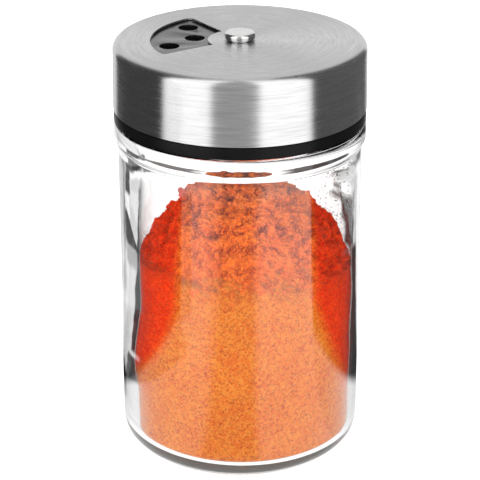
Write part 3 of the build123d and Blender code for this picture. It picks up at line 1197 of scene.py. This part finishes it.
closureValues = {
    "segments": 224,
    "boreRadius": 22.6,
    "boreRound": 0.5,
    "boreRows": 54,
    # the bore's plain ends: the lower one, and both together
    "plainBelow": 0.9,
    "plainEnds": 1.7,
    "lipBevel": 0.3,
    "skirtRadius": 24.3,
    "ringRadius": 25.1,
    "ringBottom": 69.85,
    "ringTop": 72.3,
    "ringRound": 0.3,
    "ringStep": 0.02,
    "plateBottom": 83.3,
    "plateTop": 85.05,
    "plateInner": 17.0,
    "hubTop": 85.1,
    "hubRadius": 7.1,
    "hubBevel": 0.05,
    "edgeRadius": 1.2,
    "boreRivet": 1.55,
    "stationAngle": 164.5,
    "shakeRadius": 2.0,
    "shakeOuter": 14.0,
    "shakeInner": 9.25,
    "shakeSpread": 26.6,
    "fineRadius": 0.8,
    "finePitch": 3.3,
    "fineMiddle": 11.95,
    "pourInner": 8.2,
    "pourOuter": 15.8,
    "pourSpan": 52.0,
    "pourCorner": 1.5,
    "edgeBevel": 0.08,
}


def closureRows(values):
    # from the rivet's hole over the plate, down the skirt and ring, and up the threaded bore
    plate, skirt, ring, bore = pick(values, "plateTop skirtRadius ringRadius boreRadius")
    edge, bend, low, under = pick(values, "edgeRadius ringRound ringBottom plateBottom")
    rivet, hub, hubTop, flat = pick(values, "boreRivet hubRadius hubTop plateInner")
    ringTop, lip, turn, steps = pick(values, "ringTop lipBevel boreRound boreRows")
    rows = [(rivet, hubTop), (hub - values["hubBevel"], hubTop), (hub, plate), (flat, plate)]
    rows += arcPoints((skirt - edge, plate - edge), edge, 90, 0, 6) + [(skirt, ringTop + values["ringStep"])]
    rows += arcPoints((ring - bend, ringTop - bend), bend, 90, 0, 5)
    rows += arcPoints((ring - bend, low + bend), bend, 0, -90, 5) + [(bore + lip, low), (bore, low + lip)]
    start, threaded = len(rows), under - low - values["plainEnds"]
    rows += [(bore, low + values["plainBelow"] + threaded * i / steps) for i in range(steps + 1)]
    end = len(rows)
    rows += arcPoints((bore - turn, under - turn), turn, 0, 90, 4)
    return rows + [(flat, under), (rivet, under)], start, end


def closureHoles(values):
    # three round holes, seven fine ones a quarter turn on, and the pouring opening opposite those
    angle, spread, outer = pick(values, "stationAngle shakeSpread shakeOuter")
    bottom, top = values["plateBottom"] - 1, values["hubTop"] + 1
    shakes = [polar(outer, angle - spread), polar(outer, angle + spread), polar(values["shakeInner"], angle)]
    middle = polar(values["fineMiddle"], angle + 90)
    fines = [middle] + circleOutline(*middle, values["finePitch"], 6)
    outlines = [circleOutline(*place, values["shakeRadius"]) for place in shakes]
    outlines += [circleOutline(*place, values["fineRadius"], 24) for place in fines]
    pour, half = angle - 90, values["pourSpan"] / 2
    inner, outer, corner = pick(values, "pourInner pourOuter pourCorner")
    outlines.append(sectorOutline(inner, outer, pour - half, pour + half, corner))
    return [prism(outline, bottom, top, "holeTool") for outline in outlines]


def makeClosure(values):
    rows, start, end = closureRows(values)

    def lift(angle, index, height):
        return -threadHeight(angle, height, threadValues["closureBottom"]) if start <= index < end else 0.0

    shell = ringedMesh("closureShell", rows, values["segments"], lift, closed=True)
    cut = cutAway(shell, closureHoles(values), "screwClosure")
    worn = bevelled(cut, values["edgeBevel"], 60, "screwClosure")
    closure = finishMesh("screwClosure", worn, closureBlack, 35)
    placePiece(closure, "screw_closure", "closure")


makeClosure(closureValues)
print("screw closure made")


# Gasket under the plate.

gasketValues = {
    "segments": 160,
    "inner": 19.0,
    "outer": 21.7,
    "bottom": 82.35,
    "top": 83.25,
    "round": 0.2,
    # half the width and the depth of the grooves in its two faces
    "topGroove": (0.5, 0.08),
    "underGroove": (0.4, 0.12),
}


def makeGasket(values):
    inner, outer, low, high, bend = pick(values, "inner outer bottom top round")
    (topHalf, topDeep), (underHalf, underDeep) = pick(values, "topGroove underGroove")
    middle = (inner + outer) / 2
    profile = arcPoints((outer - bend, low + bend), bend, -90, 0, 4)
    profile += arcPoints((outer - bend, high - bend), bend, 0, 90, 4)
    profile += [(middle + topHalf, high), (middle, high - topDeep), (middle - topHalf, high)]
    profile += arcPoints((inner + bend, high - bend), bend, 90, 180, 4)
    profile += arcPoints((inner + bend, low + bend), bend, 180, 270, 4)
    profile += [(middle - underHalf, low), (middle, low + underDeep), (middle + underHalf, low)]
    mesh = ringedMesh("rimGasket", profile, values["segments"], closed=True)
    placePiece(finishMesh("rimGasket", mesh, sealGrey, 40), "rim_gasket", "gasket")


makeGasket(gasketValues)
print("gasket made")


# Ground spice: pressed against the glass low down, a loose crumbly heap above.

heapValues = {
    "segments": 320,
    "gap": 0.15,
    "floor": 2.6,
    "heel": 1.8,
    "heelRows": 8,
    "wallHeight": 41.55,
    "slope": 52.0,
    "peakRound": 10.0,
    "tilt": 0.067,
    "lumpSize": 9.0,
    "lumpHeight": 0.6,
    "crumbSize": 4.6,
    "crumbHeight": 0.5,
    # clumps of crumbs: size, height, and share in the painted crease shade
    "clumps": ((2.6, 2.0, 0.75), (1.3, 1.0, 0.65), (0.7, 0.5, 0.45)),
    "creaseShade": (-0.36, -0.04),
    "seed": 11.3,
    "topRings": 170,
    "sideRows": 60,
    # crumbs are finer towards the glass, and stay behind it: shares of the way out
    "fineFrom": 0.6,
    "finer": 0.42,
    "insideFrom": 0.95,
    "edgeShare": 0.4,
    # near its top the powder leans back from the glass: how deep, how far, and how much painted crease shade
    # it gets
    "looseDepth": 4.0,
    "leanBack": 0.25,
    "leanFrom": 0.5,
    "leanCreaseShade": 0.4,
    # where pressed powder ends: above the wall's height, and waves of (height, size)
    "pressedRise": 0.6,
    "pressedWaves": ((4.0, 3.0), (2.4, 0.9)),
}


def clump(x, y, z):
    # how far crumbs stand out, and how deep in the creases between them the place lies, which sets the
    # painted shade darkening the creases
    out, creaseShade = 0.0, 0.0
    low, high = heapValues["creaseShade"]
    for size, height, share in heapValues["clumps"]:
        bump = noise.noise(Vector((x / size, y / size, z / size + heapValues["seed"])))
        out += height * bump
        creaseShade += share * (1 - smoothStep(low, high, bump))
    return out, min(1.0, creaseShade)


def waves(x, y, size):
    # rounded bumps about as wide as the size that never line up, as in the solids
    turns = tau / size
    across = sin(turns * (0.94 * x + 0.34 * y) + 1.0) * sin(turns * (0.26 * y - 0.91 * x) * 0.63 + 2.0)
    along = sin(turns * (0.98 * y - 0.21 * x) * 0.81 + 0.5) * sin(turns * (0.77 * x + 0.64 * y) * 0.57)
    return (across + along) / 2


def heapHeight(x, y):
    # a rounded cone over the middle of the space, with lumps
    wallHeight, bend, slope, tilt = pick(heapValues, "wallHeight peakRound slope tilt")
    lump, lumpHeight, crumb, crumbHeight = pick(heapValues, "lumpSize lumpHeight crumbSize crumbHeight")
    shift = jarValues["thickSide"] / 2
    toWall = hypot(jarValues["innerRadius"] - shift, bend) - bend
    height = wallHeight + tan(radians(slope)) * (toWall - hypot(x - shift, y, bend) + bend)
    height += lumpHeight * waves(x, y, lump) + crumbHeight * waves(y, x, crumb)
    return height - tilt * x


def spiceReach(angle, height):
    return wallReach(angle, height) - heapValues["gap"]


def heapPoint(angle, share):
    # a place on the crumbly heap, and how deep in a crease it lies, for the painted crease shade
    values = heapValues
    reach = spiceReach(angle, values["wallHeight"]) * share
    x, y = reach * cos(angle), reach * sin(angle)
    height = heapHeight(x, y)
    out, creaseShade = clump(x, y, height)
    fine = 1 - values["finer"] * smoothStep(values["fineFrom"], 1.0, share)
    out, creaseShade = out * fine, creaseShade * fine
    inside = 1 - smoothStep(values["insideFrom"], 1.0, share)
    slope = radians(values["slope"]) * min(1.0, reach / values["peakRound"])
    reach += out * sin(slope) * inside
    height += out * cos(slope) * max(inside, values["edgeShare"])
    return (reach * cos(angle), reach * sin(angle), height), creaseShade


def sidePoint(angle, top, row):
    # a place on the powder's side, in this row down from its edge, and its painted crease shade
    values = heapValues
    bottom = values["floor"] + values["heel"]
    height = top + (bottom - top) * row / values["sideRows"]
    loose = max(0.0, 1 - (top - height) / values["looseDepth"])
    reach = spiceReach(angle, height)
    out, creaseShade = clump(reach * cos(angle), reach * sin(angle), height)
    reach -= values["leanBack"] * loose * min(1.0, max(0.0, values["leanFrom"] - out))
    return (*polar(reach, degrees(angle)), height), creaseShade * loose * values["leanCreaseShade"]


def heelPoint(angle, drop):
    heel, bottom = heapValues["heel"], heapValues["floor"] + heapValues["heel"]
    reach = spiceReach(angle, bottom) - heel + heel * cos(drop)
    return (*polar(reach, degrees(angle)), bottom - heel * sin(drop)), 0.0


def makeHeap(values):
    segments, topRings, sideRows, heelRows = pick(values, "segments topRings sideRows heelRows")
    angles = [tau * step / segments for step in range(segments)]
    bm = bmesh.new()
    # painted crease shade on each vertex, read by the powder's colour
    creaseShadeLayer = bm.verts.layers.float.new("creaseShade")

    def addVert(place, creaseShade):
        vert = bm.verts.new([part * mm for part in place])
        vert[creaseShadeLayer] = creaseShade
        return vert

    rings = [[addVert(*heapPoint(0, 0))] * segments]
    for index in range(1, topRings + 1):
        spots = [heapPoint(angle, index / topRings) for angle in angles]
        rings.append([addVert(*spot) for spot in spots])
    edges = [place[2] for place, creaseShade in spots]
    for row in range(1, sideRows + 1):
        rings.append([addVert(*sidePoint(angle, top, row)) for angle, top in zip(angles, edges)])
    for row in range(1, heelRows + 1):
        drop = radians(90 * row / heelRows)
        rings.append([addVert(*heelPoint(angle, drop)) for angle in angles])
    rings.append([addVert((0, 0, values["floor"]), 0.0)] * segments)
    bridgeRings(bm, rings)
    heap = finishMesh("spiceHeap", asMesh(bm, "spiceHeap"), spicePressed)
    heap.data.materials.append(spiceLoose)
    for polygon in heap.data.polygons:
        place = polygon.center / mm
        edge = values["wallHeight"] - values["tilt"] * place.x + values["pressedRise"]
        edge += sum(height * noise.noise(place / size) for height, size in values["pressedWaves"])
        polygon.material_index = 1 if place.z > edge else 0
    placePiece(heap, "spice_fill", "jar")


makeHeap(heapValues)
print("ground spice made")


# Crumbs lying loose on the heap, and specks of powder on the glass above it.

crumbValues = {
    # how many to the square metre, and sizes in millimetres
    "spiceClods": {
        "Density": 260000.0, "Smallest": 0.28, "Largest": 0.75, "Rounds": 2, "Seed": 3, "Roughen": 0.7,
    },
    "spiceCrumbs": {
        "Density": 2600000.0, "Smallest": 0.12, "Largest": 0.32, "Rounds": 1, "Seed": 8, "Roughen": 0.25,
    },
    "spiceSpecks": {
        "Density": 2000000.0, "Smallest": 0.06, "Largest": 0.16, "Rounds": 1, "Seed": 5, "Roughen": 0.05,
    },
    "spiceDust": {
        "Density": 9000000.0, "Smallest": 0.03, "Largest": 0.10, "Rounds": 1, "Seed": 12, "Roughen": 0.05,
    },
    "spiceHaze": {
        "Density": 1600000.0, "Smallest": 0.03, "Largest": 0.10, "Rounds": 1, "Seed": 15, "Roughen": 0.05,
    },
    # most are small; their proportions, from and to; the fineness of their own bumps
    "skew": 2.2,
    "thinnest": (0.7, 0.7, 0.6),
    "fullest": (1.2, 1.2, 1.0),
    "shapeSeed": 7,
    "bumpScale": 1400.0,
    # grids of faces that they lie on: rows and steps
    "heapGrid": (50, 120),
    "bandGrid": (6, 120),
    "patchGrid": (30, 30),
    "heapShare": 0.965,
    "peakRow": 0.02,
    # bands on the glass above the powder's edge, from and to in millimetres
    "bands": {"spiceDust": (-0.2, 1.7), "spiceHaze": (1.7, 4.6)},
    "bandGap": 0.16,
    # a patch on the glass: between which angles and heights
    "patchAngles": (-50, -24),
    "patchHeights": (50.0, 64.0),
    "patchGap": 0.22,
}


def makeCrumbTree(values):
    tree = bpy.data.node_groups.new("crumbs", "GeometryNodeTree")
    sizes = {name: "Float" for name in ("Density", "Smallest", "Largest", "Roughen")}
    kinds = {"Geometry": "Geometry", **sizes, "Rounds": "Int", "Seed": "Int", "Material": "Material"}
    for name, kind in kinds.items():
        tree.interface.new_socket(name, in_out="INPUT", socket_type=f"NodeSocket{kind}")
    tree.interface.new_socket("Geometry", in_out="OUTPUT", socket_type="NodeSocketGeometry")
    given = tree.nodes.new("NodeGroupInput").outputs
    result = tree.nodes.new("NodeGroupOutput")

    def added(kind, inputs, output=0, **settings):
        return addNode(tree, kind, inputs, **settings).outputs[output]

    def randomVector(low, high, seed):
        inputs = {0: low, 1: high, "Seed": seed}
        return added("FunctionNodeRandomValue", inputs, data_type="FLOAT_VECTOR")

    def scaled(vector, size):
        return added("ShaderNodeVectorMath", {0: vector, "Scale": size}, operation="SCALE")

    bed = {"Mesh": given["Geometry"], "Density": given["Density"], "Seed": given["Seed"]}
    points = added("GeometryNodeDistributePointsOnFaces", bed)
    ball = added("GeometryNodeMeshIcoSphere", {"Radius": 1.0, "Subdivisions": given["Rounds"]})
    turn = randomVector((0, 0, 0), (tau, tau, tau), given["Seed"])
    grade = added("FunctionNodeRandomValue", {2: 0.0, 3: 1.0, "Seed": given["Seed"]}, 1, data_type="FLOAT")
    larger = minus(tree, given["Largest"], given["Smallest"])
    size = calc(tree, "MULTIPLY_ADD", calc(tree, "POWER", grade, values["skew"]), larger, given["Smallest"])
    scale = scaled(randomVector(values["thinnest"], values["fullest"], values["shapeSeed"]), size)
    placed = {"Points": points, "Instance": ball, "Rotation": turn, "Scale": scale}
    real = added("GeometryNodeRealizeInstances", {"Geometry": added("GeometryNodeInstanceOnPoints", placed)})
    bumps = {"Scale": values["bumpScale"], "Detail": 2.0, "Roughness": 0.65}
    ripple = added("ShaderNodeTexNoise", bumps, "Color")
    centred = added("ShaderNodeVectorMath", {0: ripple, 1: (0.5, 0.5, 0.5)}, operation="SUBTRACT")
    rough = {"Geometry": real, "Offset": scaled(centred, given["Roughen"])}
    smooth = added("GeometryNodeSetShadeSmooth", {"Geometry": added("GeometryNodeSetPosition", rough)})
    last = added("GeometryNodeSetMaterial", {"Geometry": smooth, "Material": given["Material"]})
    tree.links.new(last, result.inputs[0])
    return tree


def scattered(tree, bed, name, values, material):
    # the crumbs on a bed as a plain mesh; lengths among the values are in millimetres
    body = addObject(name, bed)
    modifier = body.modifiers.new("crumbs", "NODES")
    modifier.node_group = tree
    sockets = {item.name: item.identifier for item in tree.interface.items_tree if item.in_out == "INPUT"}
    for key, value in values.items():
        inMetres = key in ("Smallest", "Largest", "Roughen")
        modifier[sockets[key]] = value * mm if inMetres else value
    modifier[sockets["Material"]] = material
    return applied(body, name)


def patchMesh(grid, placeAt):
    # a grid of faces over the places, in millimetres, that placeAt gives for each row and step
    rows, steps = grid
    bm = bmesh.new()
    lines = []
    for row in range(rows + 1):
        places = [placeAt(row, step) for step in range(steps + 1)]
        lines.append([bm.verts.new([part * mm for part in place]) for place in places])
    for lower, upper in zip(lines, lines[1:]):
        for step in range(steps):
            bm.faces.new((lower[step], lower[step + 1], upper[step + 1], upper[step]))
    return asMesh(bm, "crumbBed")


def heapBed(values):
    rows, steps = values["heapGrid"]

    def placeAt(row, step):
        share = values["heapShare"] * max(row, values["peakRow"]) / rows
        return heapPoint(tau * step / steps, share)[0]

    return patchMesh(values["heapGrid"], placeAt)


def bandBed(values, low, high):
    # follows the powder's upper edge
    rows, steps = values["bandGrid"]

    def placeAt(row, step):
        angle = tau * step / steps
        height = heapPoint(angle, 1.0)[0][2] + low + (high - low) * row / rows
        return (*polar(wallReach(angle, height) - values["bandGap"], degrees(angle)), height)

    return patchMesh(values["bandGrid"], placeAt)


def patchBed(values):
    (fromAngle, toAngle), (low, high), (rows, steps) = pick(values, "patchAngles patchHeights patchGrid")

    def placeAt(row, step):
        height = low + (high - low) * row / rows
        angle = radians(fromAngle + (toAngle - fromAngle) * step / steps)
        reach = wallReach(angle, height) - values["patchGap"]
        return reach * cos(angle), reach * sin(angle), height

    return patchMesh((rows, steps), placeAt)


def makeCrumbs(values):
    tree = makeCrumbTree(values)
    beds = [(name, heapBed(values), spiceLoose) for name in ("spiceClods", "spiceCrumbs")]
    beds.append(("spiceSpecks", patchBed(values), driedSpice))
    beds += [(name, bandBed(values, *band), driedSpice) for name, band in values["bands"].items()]
    for name, bed, material in beds:
        mesh = scattered(tree, bed, name, values[name], material)
        mesh.shade_smooth()
        placePiece(addObject(name, mesh), "spice_fill", "jar")
        print(name, len(mesh.polygons), "faces")


makeCrumbs(crumbValues)
print("crumbs made")

print("pieces done")
